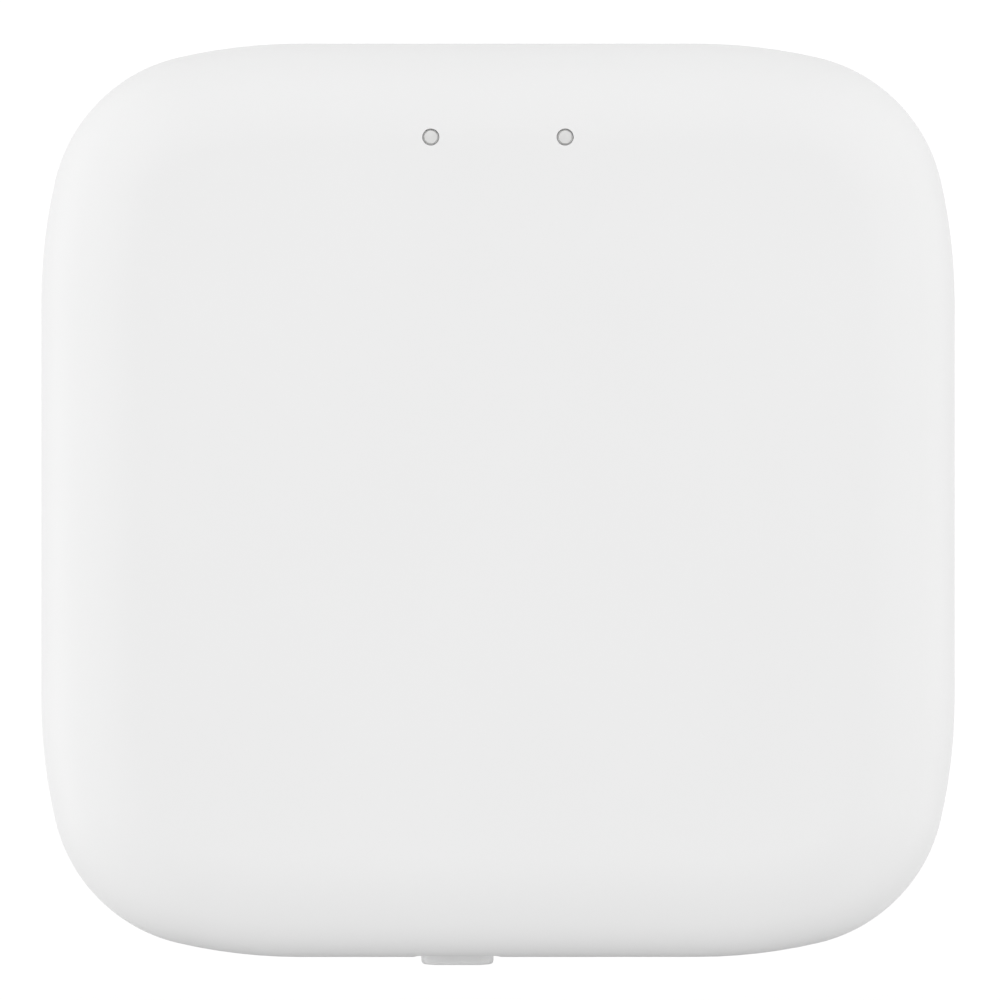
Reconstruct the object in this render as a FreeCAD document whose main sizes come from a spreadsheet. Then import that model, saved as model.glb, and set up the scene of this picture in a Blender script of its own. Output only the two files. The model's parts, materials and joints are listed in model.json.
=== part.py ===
import FreeCAD, Part
import os
import re

import Sketcher
from FreeCAD import Vector

# A smart home hub: a flat square case with soft corners that lies on four rubber feet.
# Millimetres, +Z up. The origin is the middle of the footprint, at the bottom of the feet.
# The indicator windows are near the +Y edge, and the button and sockets are in the -Y wall.

# ---------------------------------------------------------------- driving dimensions

sizes = {
    # case outline: each corner is a tight arc between two soft ones
    "case_width": 92.0,
    "case_depth": 92.0,
    "case_height": 23.0,
    "corner_soft_radius": 54.5,
    "corner_tight_radius": 16.5,
    "corner_turn": 13.07,
    # case section: the wall's small radius runs into the face's large one
    "wall": 2.0,
    "wall_edge_radius": 6.0,
    "face_edge_radius": 15.5,
    "edge_turn": 25.0,
    "back_edge_radius": 4.5,
    "seam_overlap": 1.0,
    "parting_height": 8.2,
    "parting_groove": 0.25,
    "tongue_thick": 0.8,
    "tongue_height": 1.2,
    "tongue_gap": 0.1,
    # rubber feet, stuck over the case screws
    "foot_proud": 0.8,
    "foot_sunk": 0.7,
    "foot_wide": 9.0,
    "foot_gap": 0.1,
    "foot_round": 0.4,
    # case screws and their bosses
    "boss_inset": 14.0,
    "front_boss_wide": 6.0,
    "back_boss_wide": 7.6,
    "boss_gap": 0.1,
    "case_screw_wide": 2.6,
    "case_screw_long": 10.0,
    "case_head_wide": 5.0,
    "case_head_tall": 1.8,
    "case_head_gap": 0.2,
    "case_hole_gap": 0.2,
    "case_pilot_gap": 0.05,
    "case_pilot_spare": 1.5,
    "case_seat": 4.2,
    # screws that hold the board
    "board_screw_x_inset": 5.0,
    "board_screw_y_inset": 19.5,
    "board_screw_wide": 2.0,
    "board_screw_long": 4.5,
    "board_head_wide": 3.6,
    "board_head_tall": 1.3,
    "board_pilot_spare": 0.1,
    "standoff_wide": 5.2,
    "standoff_height": 2.0,
    "drive_slot": 0.6,
    "drive_depth": 0.7,
    "drive_share": 0.6,
    # main board
    "board_thick": 1.6,
    "board_gap": 1.0,
    "board_notch": 15.0,
    "board_hole": 2.4,
    # blank label and cooling slots underneath
    "label_wide": 40.0,
    "label_deep": 24.0,
    "label_thick": 0.15,
    "label_round": 2.0,
    "label_gap": 0.2,
    "label_y": -10.0,
    "vent_wide": 1.6,
    "vent_deep": 9.0,
    "vent_pitch": 4.4,
    "vent_y": 18.0,
    "vent_round": 0.75,
    # indicator windows, their light guide and lamps
    "window_x": 6.75,
    "window_inset": 9.5,
    "window_wide": 1.7,
    "guide_tip_wide": 1.3,
    "guide_leg_wide": 2.2,
    "guide_sunk": 0.05,
    "guide_bridge_deep": 2.6,
    "guide_bridge_tall": 1.2,
    "guide_bridge_drop": 0.5,
    "guide_round": 0.6,
    "guide_lamp_gap": 0.2,
    "guide_rib": 1.0,
    "guide_rib_gap": 0.2,
    "guide_rib_tall": 2.6,
    "lamp_wide": 1.6,
    "lamp_deep": 0.8,
    "lamp_tall": 0.6,
    "lamp_lens_wide": 0.96,
    # button
    "button_x": -4.1,
    "button_wide": 7.3,
    "button_tall": 3.0,
    "button_round": 1.4,
    "button_edge": 0.35,
    "button_proud": 1.0,
    "button_dome": 0.2,
    "button_gap": 0.2,
    "button_flange_side": 1.3,
    "button_flange_thick": 0.8,
    "button_flange_gap": 0.1,
    "button_stem_wide": 2.0,
    "scoop_side": 0.8,
    "scoop_depth": 0.12,
    "scoop_rise": 3.4,
    # side-push switch behind the button
    "switch_wide": 6.0,
    "switch_deep": 3.4,
    "switch_tall": 3.6,
    "switch_setback": 2.0,
    "switch_axis": 1.8,
    "switch_bore": 3.2,
    "switch_bore_deep": 1.5,
    "switch_plate": 0.2,
    "plunger_wide": 1.6,
    "plunger_proud": 0.8,
    "plunger_gap": 0.05,
    "plunger_hole_gap": 0.15,
    "plunger_flange_wide": 2.6,
    "plunger_flange_thick": 0.5,
    "dome_radius": 2.5,
    "dome_wide": 3.0,
    "dome_thick": 0.1,
    # network socket
    "jack_boss_gap": 4.2,
    "jack_wide": 16.0,
    "jack_deep": 16.0,
    "jack_tall": 11.9,
    "jack_setback": 1.4,
    "jack_sheet": 0.25,
    "jack_fit": 0.05,
    "plug_wide": 11.8,
    "plug_tall": 6.7,
    "plug_deep": 12.0,
    "latch_wide": 6.4,
    "latch_tall": 1.2,
    "catch_wide": 3.4,
    "catch_tall": 0.9,
    "plug_lift": 0.7,
    "jack_margin": 0.3,
    "jack_corner": 0.5,
    "contact_pitch": 1.02,
    "contact_wide": 0.35,
    "contact_thick": 0.3,
    "contact_gap": 0.15,
    "contact_front": 2.0,
    "contact_back": 2.6,
    "contact_drop": 2.0,
    # power socket
    "usb_boss_gap": 4.45,
    "usb_wide": 7.5,
    "usb_tall": 2.6,
    "usb_deep": 5.5,
    "usb_sheet": 0.3,
    "usb_slope": 0.8,
    "usb_setback": 0.6,
    "usb_margin": 0.3,
    "usb_back": 1.3,
    "usb_fit": 0.04,
    "usb_tongue_wide": 3.9,
    "usb_tongue_thick": 0.6,
    "usb_tongue_lift": 0.75,
    "usb_tongue_long": 3.0,
    "usb_contact_wide": 0.25,
    "usb_contact_thick": 0.12,
    "usb_contact_pitch": 0.65,
    "usb_contact_long": 2.7,
    "usb_recess_wide": 11.0,
    "usb_recess_tall": 7.4,
    "usb_recess_round": 2.0,
    "usb_recess_depth": 0.9,
    # parts that stand on the board
    "pin_wide": 0.4,
    "pin_out": 0.9,
    "pin_thick": 0.2,
    "pin_pitch": 1.27,
    "wide_pin_pitch": 2.3,
    "bulk_pitch": 9.0,
    "bulk_base": 6.6,
    "bulk_base_tall": 1.0,
    "bulk_corner": 1.3,
    "coil_round": 1.2,
    "crystal_round": 0.5,
    "chip_round": 0.3,
    "chip_mark": 1.0,
    "chip_mark_inset": 1.6,
    "chip_mark_depth": 0.1,
    "radio_can_wide": 11.0,
    "radio_can_deep": 14.0,
    "radio_can_tall": 2.0,
    "radio_can_sheet": 0.2,
    "radio_can_shift": 3.0,
    "radio_can_round": 0.8,
    "radio_board_round": 0.5,
    "antenna_line": 0.8,
    "antenna_tall": 0.5,
    "antenna_inset": 0.6,
    "small_long": 1.6,
    "small_deep": 0.8,
    "resistor_tall": 0.45,
    "capacitor_tall": 0.8,
    "small_pitch": 3.0,
    "resistor_drop": 8.0,
    "capacitor_drop": 11.5,
    "small_x": -12.0,
}

# Board parts: width, depth and height, then the middle's place. A place is from the board's middle,
# but y is from the edge that the sockets stand on for the power parts, x is from the -X edge for the
# radio, and the transformer stands in line with the network socket, behind it.
chips = {
    "processor": {"wide": 14.0, "deep": 14.0, "tall": 0.9, "x": 2.0, "y": 8.0},
    "memory_chip": {"wide": 8.0, "deep": 10.2, "tall": 1.0, "x": 22.0, "y": 10.0},
    "flash_chip": {"wide": 5.3, "deep": 5.3, "tall": 1.8, "x": 2.0, "y": -8.0},
    "clock_crystal": {"wide": 3.2, "deep": 2.5, "tall": 0.7, "x": -10.0, "y": 8.0},
    "power_inductor": {"wide": 7.0, "deep": 7.0, "tall": 3.0, "x": -20.0, "y_in": 15.0},
    "voltage_regulator": {"wide": 6.5, "deep": 3.6, "tall": 1.7, "x": -9.0, "y_in": 15.0},
    "bulk_capacitors": {"wide": 6.3, "deep": 6.3, "tall": 7.7, "x": -18.0, "y_in": 25.0},
    "radio_board": {"wide": 16.0, "deep": 22.0, "tall": 1.0, "x_in": 11.0, "y": 2.0},
    "ethernet_transformer": {"wide": 15.0, "deep": 7.2, "tall": 5.8, "jack_gap": 4.4},
}
for chip, chip_sizes in chips.items():
    for word, amount in chip_sizes.items():
        sizes[f"{chip}_{word}"] = amount

# Sizes and places that follow from the driving dimensions.
worked_out = {
    "half_width": "case_width / 2",
    "half_depth": "case_depth / 2",
    "case_bottom": "foot_proud",
    "inner_floor": "case_bottom + wall",
    "ceiling": "case_height - wall",
    "corner_run": "corner_soft_radius - (corner_soft_radius - corner_tight_radius)"
                  " * (cos(corner_turn) - sin(corner_turn))",
    "edge_wide": "face_edge_radius * sin(edge_turn) + wall_edge_radius * (1 - sin(edge_turn))",
    "edge_tall": "face_edge_radius * (1 - cos(edge_turn)) + wall_edge_radius * cos(edge_turn)",
    "wall_top": "case_height - edge_tall",
    "flat_x": "half_width - edge_wide",
    "change_x": "half_width - wall_edge_radius * (1 - sin(edge_turn))",
    "change_z": "wall_top + wall_edge_radius * cos(edge_turn)",
    "tongue_end": "parting_height - tongue_height",
    "tongue_x": "half_width - wall + tongue_thick",
    "boss_x": "half_width - boss_inset",
    "boss_y": "half_depth - boss_inset",
    "case_seat_z": "case_bottom + case_seat",
    "board_bottom": "inner_floor + standoff_height",
    "board_top": "board_bottom + board_thick",
    "board_x": "half_width - wall - board_gap",
    "board_y": "half_depth - wall - board_gap",
    "board_screw_x": "board_x - board_screw_x_inset",
    "board_screw_y": "board_y - board_screw_y_inset",
    "window_y": "half_depth - window_inset",
    "bridge_top": "ceiling - guide_bridge_drop",
    "button_z": "board_top + switch_axis",
    "scoop_low": "button_z - button_tall / 2 - scoop_side",
    "scoop_tall": "wall_top + scoop_rise - scoop_low",
    "inner_wall_y": "half_depth - wall",
    "flange_front": "inner_wall_y - button_flange_gap",
    "flange_back": "flange_front - button_flange_thick",
    "switch_front": "inner_wall_y - switch_setback",
    "plunger_front": "switch_front + plunger_proud",
    "dome_crown": "dome_radius - sqrt(dome_radius * dome_radius - dome_wide * dome_wide / 4)",
    "jack_x": "boss_x - back_boss_wide / 2 - jack_boss_gap - jack_wide / 2",
    "jack_front": "inner_wall_y - jack_setback",
    "cavity_front": "jack_front - jack_sheet - jack_fit",
    "cavity_back": "cavity_front - plug_deep",
    "plug_bottom": "board_top + plug_lift",
    "plug_total": "plug_tall + latch_tall + catch_tall",
    "plug_top": "plug_bottom + plug_total",
    "usb_x": "-(boss_x - back_boss_wide / 2 - usb_boss_gap - usb_wide / 2)",
    "usb_front": "half_depth - usb_setback",
    "usb_back_y": "usb_front - usb_deep",
    "usb_z": "board_top + usb_tall / 2",
    "usb_tongue_z": "board_top + usb_tall - usb_sheet - usb_tongue_lift",
    "radio_top": "board_top + radio_board_tall",
    "radio_board_x": "radio_board_x_in - board_x",
    "power_inductor_y": "power_inductor_y_in - board_y",
    "voltage_regulator_y": "voltage_regulator_y_in - board_y",
    "bulk_capacitors_y": "bulk_capacitors_y_in - board_y",
    "ethernet_transformer_x": "jack_x",
    "ethernet_transformer_y": "jack_deep + ethernet_transformer_jack_gap"
                              " + ethernet_transformer_deep / 2 - jack_front",
    "resistor_y": "window_y - resistor_drop",
    "capacitor_y": "window_y - capacitor_drop",
}

doc = FreeCAD.newDocument("hub")
sheet = doc.addObject("Spreadsheet::Sheet", "Sizes")
for row, (alias, amount) in enumerate(sizes.items(), 1):
    sheet.set(f"A{row}", alias)
    sheet.set(f"B{row}", str(amount))
    sheet.setAlias(f"B{row}", alias)
doc.recompute()

# ---------------------------------------------------------------- helpers


def full(text):
    """The same expression with worked-out names written out and sheet names led by the sheet's."""
    def swap(match):
        word = match.group(0)
        if word in worked_out:
            return "(" + full(worked_out[word]) + ")"
        if word in sizes:
            return "Sizes." + word
        return word
    return re.sub(r"[a-z][a-z0-9_]*", swap, text)


def number(text):
    return float(sheet.evalExpression(full(text)))


def bind(thing, name, text):
    thing.setExpression(name, full(text))


pieces = []


def new_body(label, several=False):
    body = doc.addObject("PartDesign::Body", label)
    body.Label = label
    body.AllowCompound = several
    body.Placement = FreeCAD.Placement()
    pieces.append(body)
    return body


def new_sketch(body, name, plane="XY", at=("0", "0"), level="0"):
    """A sketch on one of the body's own planes, moved by at within it and by level along its normal.

    XY looks down: x is +X, y is +Y, level is +Z. XZ is seen from -Y: x is +X, y is +Z, level is -Y.
    YZ is seen from +X: x is +Y, y is +Z, level is +X.
    """
    sketch = body.newObject("Sketcher::SketchObject", f"{body.Name}_{name}")
    planes = [item for item in body.Origin.OriginFeatures if item.Role == plane + "_Plane"]
    sketch.AttachmentSupport = [(planes[0], "")]
    sketch.MapMode = "FlatFace"
    bind(sketch, "AttachmentOffset.Base.x", at[0])
    bind(sketch, "AttachmentOffset.Base.y", at[1])
    bind(sketch, "AttachmentOffset.Base.z", level)
    return sketch


def hold(sketch, kind, first, text):
    """Add a dimension and bind it to its expression."""
    index = sketch.addConstraint(Sketcher.Constraint(kind, *first, number(text)))
    bind(sketch, f"Constraints[{index}]", text)


def fix_point(sketch, item, end, x, y):
    """Dimension one point of the sketch from the sketch's origin."""
    origin = (-1, 1)
    for kind, axis, text in (("DistanceX", -2, x), ("DistanceY", -1, y)):
        amount = number(text)
        if abs(amount) < 1e-9:
            sketch.addConstraint(Sketcher.Constraint("PointOnObject", item, end, axis))
        elif amount > 0:
            hold(sketch, kind, (*origin, item, end), text)
        else:
            hold(sketch, kind, (item, end, *origin), f"-({text})")


def draw(sketch, path):
    """A closed outline through the path's points, in order.

    After a point (x, y) the outline runs straight. After a point (x, y, radius, side) it is an arc
    whose centre is on that side.
    """
    spots = [Vector(number(point[0]), number(point[1]), 0) for point in path]
    first = sketch.GeometryCount
    ends = []
    for place, point in enumerate(path):
        start = spots[place]
        stop = spots[(place + 1) % len(path)]
        if len(point) == 2:
            sketch.addGeometry(Part.LineSegment(start, stop))
            ends.append((1, 2))
            continue
        radius = number(point[2])
        chord = stop - start
        side = Vector(-chord.y, chord.x, 0).normalize()
        if point[3] == "right":
            side = -side
        height = max(radius * radius - chord.Length ** 2 / 4, 0) ** 0.5
        centre = (start + stop) / 2 + side * height
        middle = centre - side * radius
        if point[3] == "left":
            sketch.addGeometry(Part.Arc(start, middle, stop))
            ends.append((1, 2))
        else:
            sketch.addGeometry(Part.Arc(stop, middle, start))
            ends.append((2, 1))
    for place, point in enumerate(path):
        item = first + place
        after = (place + 1) % len(path)
        sketch.addConstraint(
            Sketcher.Constraint("Coincident", item, ends[place][1], first + after, ends[after][0]))
        fix_point(sketch, item, ends[place][0], point[0], point[1])
        if len(point) == 4:
            hold(sketch, "Radius", (item,), point[2])


def draw_circle(sketch, x, y, wide):
    centre = Vector(number(x), number(y), 0)
    item = sketch.addGeometry(Part.Circle(centre, Vector(0, 0, 1), number(wide) / 2))
    fix_point(sketch, item, 3, x, y)
    hold(sketch, "Diameter", (item,), wide)


def box_path(x, y, wide, tall):
    left, right = f"{x} - ({wide}) / 2", f"{x} + ({wide}) / 2"
    low, high = f"{y} - ({tall}) / 2", f"{y} + ({tall}) / 2"
    return [(left, low), (right, low), (right, high), (left, high)]


def round_path(x, y, wide, tall, radius):
    """A rectangle with rounded corners about (x, y)."""
    left, right = f"{x} - ({wide}) / 2", f"{x} + ({wide}) / 2"
    low, high = f"{y} - ({tall}) / 2", f"{y} + ({tall}) / 2"
    radius = f"({radius})"
    bend = (radius, "left")
    return [
        (f"{left} + {radius}", low),
        (f"{right} - {radius}", low, *bend),
        (right, f"{low} + {radius}"),
        (right, f"{high} - {radius}", *bend),
        (f"{right} - {radius}", high),
        (f"{left} + {radius}", high, *bend),
        (left, f"{high} - {radius}"),
        (left, f"{low} + {radius}", *bend),
    ]


def case_path(inset):
    """The case's outline, moved inwards by inset, starting in the middle of the +X side."""
    soft = f"corner_soft_radius - ({inset})"
    tight = f"corner_tight_radius - ({inset})"
    corner = [
        (f"half_width - ({inset})", "half_depth - corner_run"),
        (f"half_width - corner_soft_radius + ({soft}) * cos(corner_turn)",
         f"half_depth - corner_run + ({soft}) * sin(corner_turn)"),
        (f"half_width - corner_run + ({soft}) * sin(corner_turn)",
         f"half_depth - corner_soft_radius + ({soft}) * cos(corner_turn)"),
        ("half_width - corner_run", f"half_depth - ({inset})"),
    ]
    radii = (soft, tight, soft)
    path = [(f"half_width - ({inset})", "0")]
    for sign_x, sign_y in (("", ""), ("-", ""), ("-", "-"), ("", "-")):
        points = [(f"{sign_x}({x})", f"{sign_y}({y})") for x, y in corner]
        if sign_x != sign_y:
            points.reverse()
        for point, radius in zip(points, radii):
            path.append((*point, radius, "left"))
        path.append(points[3])
    return path


def add_feature(body, kind, sketch, length, reverse):
    feature = body.newObject(f"PartDesign::{kind}", f"{sketch.Name}_{kind.lower()}")
    feature.Profile = sketch
    feature.Reversed = reverse
    bind(feature, "Length", length)
    doc.recompute()
    return feature


def pad(body, sketch, length, reverse=False):
    return add_feature(body, "Pad", sketch, length, reverse)


def pocket(body, sketch, length, reverse=False):
    """Cut against the sketch's normal, or along it when reverse is set."""
    before = body.Shape.Volume
    feature = add_feature(body, "Pocket", sketch, length, reverse)
    if body.Shape.Volume > before - 1e-6:
        raise RuntimeError(f"{feature.Name} cuts nothing")
    return feature


def round_edges(body, feature, test, radius, kind="Fillet"):
    """Round, or chamfer, the edges whose middle passes the test."""
    names = []
    for place, edge in enumerate(feature.Shape.Edges, 1):
        middle = edge.valueAt((edge.FirstParameter + edge.LastParameter) / 2)
        if test(edge, middle):
            names.append(f"Edge{place}")
    rounding = body.newObject(f"PartDesign::{kind}", f"{feature.Name}_{kind.lower()}")
    rounding.Base = (feature, names)
    bind(rounding, "Radius" if kind == "Fillet" else "Size", radius)
    doc.recompute()
    return rounding


def four_places(x, y):
    return [(f"{sign_x}({x})", f"{sign_y}({y})") for sign_x in ("", "-") for sign_y in ("", "-")]


def shell_rim(body, section):
    """Sweep the section round the case's outline."""
    spine = new_sketch(body, "outline")
    draw(spine, case_path("0"))
    profile = new_sketch(body, "section", "XZ")
    draw(profile, section)
    doc.recompute()
    rim = body.newObject("PartDesign::AdditivePipe", f"{body.Name}_rim")
    rim.Profile = profile
    rim.Spine = (spine, [f"Edge{place + 1}" for place in range(spine.GeometryCount)])
    rim.Mode = "Frenet"
    doc.recompute()


def wall_cut(body, name, x, z, wide, tall, radius, depth):
    """A rounded cut into the -Y wall from outside."""
    cut = new_sketch(body, name, "XZ", level="half_depth")
    draw(cut, round_path(x, z, wide, tall, radius))
    pocket(body, cut, depth)


def wall_cuts(body):
    """The openings for the button and both sockets, which the two shells share."""
    through = "wall + seam_overlap / 2"
    wall_cut(body, "scoop", "button_x", "scoop_low + scoop_tall / 2", "button_wide + 2 * scoop_side",
             "scoop_tall", "button_round + scoop_side", "scoop_depth")
    wall_cut(body, "button_hole", "button_x", "button_z", "button_wide + 2 * button_gap",
             "button_tall + 2 * button_gap", "button_round + button_gap", through)
    wall_cut(body, "jack_hole", "jack_x", "plug_bottom + plug_total / 2", "plug_wide + 2 * jack_margin",
             "plug_total + 2 * jack_margin", "jack_corner", through)
    wall_cut(body, "usb_recess", "usb_x", "usb_z", "usb_recess_wide", "usb_recess_tall",
             "usb_recess_round", "usb_recess_depth")
    wall_cut(body, "usb_hole", "usb_x", "usb_z", "usb_wide + 2 * usb_margin",
             "usb_tall + 2 * usb_margin", "usb_margin", through)


# ---------------------------------------------------------------- case


def make_front_cover():
    body = new_body("front_cover")
    shell_rim(body, [
        ("half_width - parting_groove", "parting_height"),
        ("half_width", "parting_height + parting_groove"),
        ("half_width", "wall_top", "wall_edge_radius", "left"),
        ("change_x", "change_z", "face_edge_radius", "left"),
        ("flat_x", "case_height"),
        ("flat_x - seam_overlap", "case_height"),
        ("flat_x - seam_overlap", "ceiling"),
        ("flat_x", "ceiling", "face_edge_radius - wall", "right"),
        ("change_x - wall * sin(edge_turn)", "change_z - wall * cos(edge_turn)",
         "wall_edge_radius - wall", "right"),
        ("half_width - wall", "wall_top"),
        ("half_width - wall", "tongue_end"),
        ("tongue_x", "tongue_end"),
        ("tongue_x", "parting_height"),
    ])
    face = new_sketch(body, "face", level="case_height")
    draw(face, case_path("edge_wide"))
    pad(body, face, "wall", reverse=True)

    bosses = new_sketch(body, "bosses", level="parting_height + boss_gap")
    pilots = new_sketch(body, "pilots", level="parting_height + boss_gap")
    for x, y in four_places("boss_x", "boss_y"):
        draw_circle(bosses, x, y, "front_boss_wide")
        draw_circle(pilots, x, y, "case_screw_wide + 2 * case_pilot_gap")
    pad(body, bosses, "ceiling - parting_height - boss_gap")
    pocket(body, pilots, "case_seat_z + case_screw_long + case_pilot_spare - parting_height", reverse=True)

    # a low frame on the ceiling that locates the light guide
    ribs = new_sketch(body, "guide_ribs", at=("0", "window_y"), level="ceiling")
    bridge_wide = "2 * window_x + guide_leg_wide"
    inner_wide = f"{bridge_wide} + 2 * guide_rib_gap"
    inner_deep = "guide_bridge_deep + 2 * guide_rib_gap"
    draw(ribs, box_path("0", "0", f"{inner_wide} + 2 * guide_rib", f"{inner_deep} + 2 * guide_rib"))
    draw(ribs, box_path("0", "0", inner_wide, inner_deep))
    pad(body, ribs, "guide_rib_tall", reverse=True)

    windows = new_sketch(body, "windows", level="case_height")
    for x in ("window_x", "-window_x"):
        draw_circle(windows, x, "window_y", "window_wide")
    pocket(body, windows, "2 * wall")
    wall_cuts(body)


def make_back_cover():
    body = new_body("back_cover")
    rebate_x = "tongue_x + tongue_gap"
    rebate_z = "tongue_end - tongue_gap"
    bend_x = "half_width - back_edge_radius"
    bend_z = "case_bottom + back_edge_radius"
    shell_rim(body, [
        ("half_width", "parting_height - parting_groove"),
        ("half_width - parting_groove", "parting_height"),
        (rebate_x, "parting_height"),
        (rebate_x, rebate_z),
        ("half_width - wall", rebate_z),
        ("half_width - wall", bend_z, "back_edge_radius - wall", "right"),
        (bend_x, "inner_floor"),
        (f"{bend_x} - seam_overlap", "inner_floor"),
        (f"{bend_x} - seam_overlap", "case_bottom"),
        (bend_x, "case_bottom", "back_edge_radius", "left"),
        ("half_width", bend_z),
    ])
    floor = new_sketch(body, "floor", level="case_bottom")
    draw(floor, case_path("back_edge_radius"))
    pad(body, floor, "wall")

    bosses = new_sketch(body, "bosses", level="inner_floor")
    holes = new_sketch(body, "screw_holes", level="parting_height")
    seats = new_sketch(body, "screw_seats", level="case_bottom")
    recesses = new_sketch(body, "foot_recesses", level="case_bottom")
    for x, y in four_places("boss_x", "boss_y"):
        draw_circle(bosses, x, y, "back_boss_wide")
        draw_circle(holes, x, y, "case_screw_wide + 2 * case_hole_gap")
        draw_circle(seats, x, y, "case_head_wide + 2 * case_head_gap")
        draw_circle(recesses, x, y, "foot_wide + 2 * foot_gap")
    pad(body, bosses, "parting_height - inner_floor")
    pocket(body, holes, "parting_height")
    pocket(body, seats, "case_seat", reverse=True)
    pocket(body, recesses, "foot_sunk", reverse=True)

    standoffs = new_sketch(body, "standoffs", level="inner_floor")
    pilots = new_sketch(body, "standoff_pilots", level="board_bottom")
    for x, y in four_places("board_screw_x", "board_screw_y"):
        draw_circle(standoffs, x, y, "standoff_wide")
        draw_circle(pilots, x, y, "board_screw_wide + 2 * case_pilot_gap")
    pad(body, standoffs, "standoff_height")
    pocket(body, pilots, "board_screw_long - board_thick + board_pilot_spare")

    label_seat = new_sketch(body, "label_seat", level="case_bottom")
    draw(label_seat, round_path("0", "label_y", "label_wide + 2 * label_gap",
                                "label_deep + 2 * label_gap", "label_round"))
    pocket(body, label_seat, "label_thick", reverse=True)

    vents = new_sketch(body, "vents", level="case_bottom")
    for step in range(-4, 5):
        draw(vents, round_path(f"{step} * vent_pitch", "vent_y", "vent_wide", "vent_deep",
                               "vent_round"))
    pocket(body, vents, "2 * wall", reverse=True)
    wall_cuts(body)


def make_feet():
    """Four round rubber pads, each in its recess over a case screw."""
    for side, sign_y in (("window_side", ""), ("socket_side", "-")):
        for hand, sign_x in (("left", "-"), ("right", "")):
            body = new_body(f"foot_{side}_{hand}")
            disc = new_sketch(body, "disc")
            draw_circle(disc, f"{sign_x}boss_x", f"{sign_y}boss_y", "foot_wide")
            foot = pad(body, disc, "foot_proud + foot_sunk")
            round_edges(body, foot, lambda edge, middle: middle.z < 1e-6, "foot_round")


def make_label():
    body = new_body("rating_label")
    sheet_of_label = new_sketch(body, "sheet", level="case_bottom")
    draw(sheet_of_label, round_path("0", "label_y", "label_wide", "label_deep", "label_round"))
    pad(body, sheet_of_label, "label_thick")


def make_screws(label, places, head_bottom, head_tall, head_wide, shank_wide, shank_long, points_up):
    """Pan-head screws as one group, each with a cross drive cut into its head."""
    body = new_body(label, several=True)
    head_top = f"{head_bottom} + {head_tall}"
    seat, crown = (head_top, head_bottom) if points_up else (head_bottom, head_top)
    heads = new_sketch(body, "heads", level=head_bottom)
    shanks = new_sketch(body, "shanks", level=seat)
    for x, y in places:
        draw_circle(heads, x, y, head_wide)
        draw_circle(shanks, x, y, shank_wide)
    pad(body, heads, head_tall)
    pad(body, shanks, shank_long, reverse=not points_up)
    slot_long = f"{head_wide} * drive_share"
    for turn, (wide, deep) in enumerate(((slot_long, "drive_slot"), ("drive_slot", slot_long))):
        slots = new_sketch(body, f"drive_{turn}", level=crown)
        for x, y in places:
            draw(slots, box_path(x, y, wide, deep))
        pocket(body, slots, "drive_depth", reverse=points_up)


# ---------------------------------------------------------------- button and its switch


def make_button():
    body = new_body("reset_button")
    half = "button_wide / 2"
    crown = "half_depth + button_proud"
    side = f"{crown} - button_dome"
    arc_radius = "(button_wide * button_wide / 4 + button_dome * button_dome) / (2 * button_dome)"
    cap = new_sketch(body, "cap", at=("button_x", "0"), level="button_z - button_tall / 2")
    draw(cap, [
        (f"-{half}", f"-({side})", arc_radius, "left"),
        (half, f"-({side})"),
        (half, "-flange_front"),
        (f"-{half}", "-flange_front"),
    ])
    block = pad(body, cap, "button_tall")

    def along_wall(edge, middle):
        ends = edge.Vertexes
        return len(ends) == 2 and abs(ends[0].Y - ends[1].Y) > number("wall")

    rounded = round_edges(body, block, along_wall, "button_round")
    outer = number(side)
    round_edges(body, rounded, lambda edge, middle: middle.y <= -outer + 1e-6, "button_edge")

    flange = new_sketch(body, "flange", "XZ", at=("button_x", "button_z"), level="flange_front")
    draw(flange, round_path("0", "0", "button_wide + 2 * button_flange_side", "button_tall", "button_edge"))
    pad(body, flange, "button_flange_thick", reverse=True)
    stem = new_sketch(body, "stem", "XZ", at=("button_x", "button_z"), level="flange_back")
    draw_circle(stem, "0", "0", "button_stem_wide")
    pad(body, stem, "flange_back - plunger_front - plunger_gap", reverse=True)


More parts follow.
